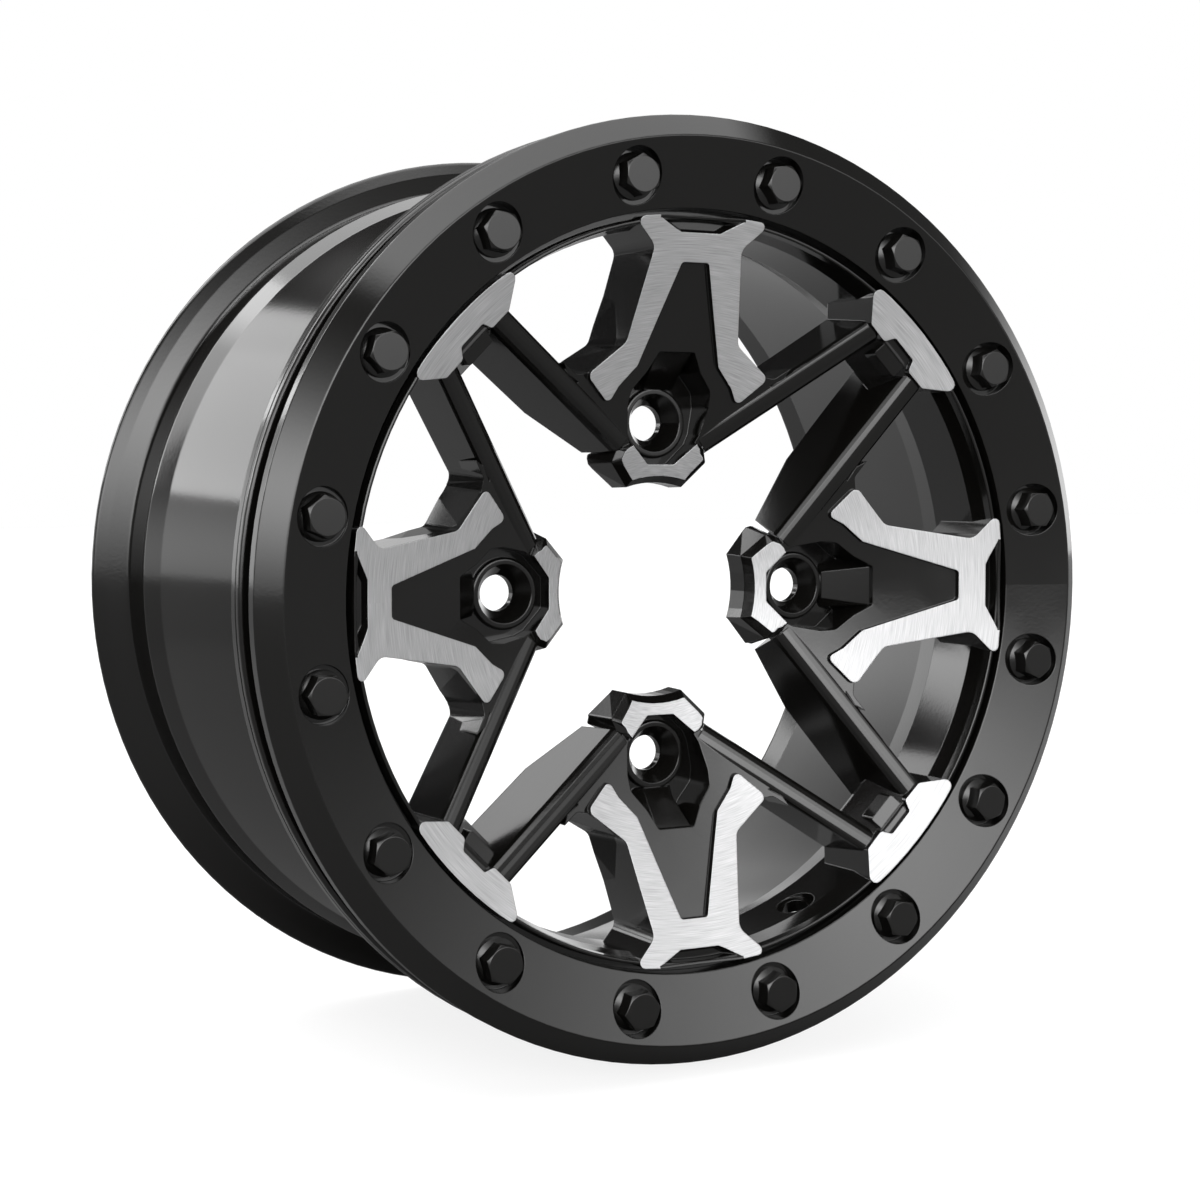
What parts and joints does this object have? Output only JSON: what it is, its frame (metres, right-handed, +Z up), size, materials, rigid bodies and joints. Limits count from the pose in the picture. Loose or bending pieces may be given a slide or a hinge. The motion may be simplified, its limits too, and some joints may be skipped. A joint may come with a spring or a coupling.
{
  "type": "beadlock wheel",
  "caption": "Cast utility-vehicle wheel with a star-shaped spider, machined spoke faces and a clamp ring bolted over the tyre's outer bead.",
  "frame": {"origin": "centre of the hub mounting face, on the spin axis", "axes": "+Y along the spin axis towards the vehicle, -Y outboard, +Z up, +X to the right as the outboard face is seen"},
  "size_m": [0.385, 0.2031, 0.385],
  "materials": {
    "wheel_coat": "satin black coat on cast aluminium, with bare turned faces on the spokes, hub ears and rim pads",
    "ring_coat": "satin black coat on turned aluminium",
    "bolt_steel": "black-coated steel"
  },
  "bodies": {
    "root": {"wheel_casting": "wheel_coat", "clamp_ring": "ring_coat", "ring_bolts": "bolt_steel"}
  },
  "joints": []
}
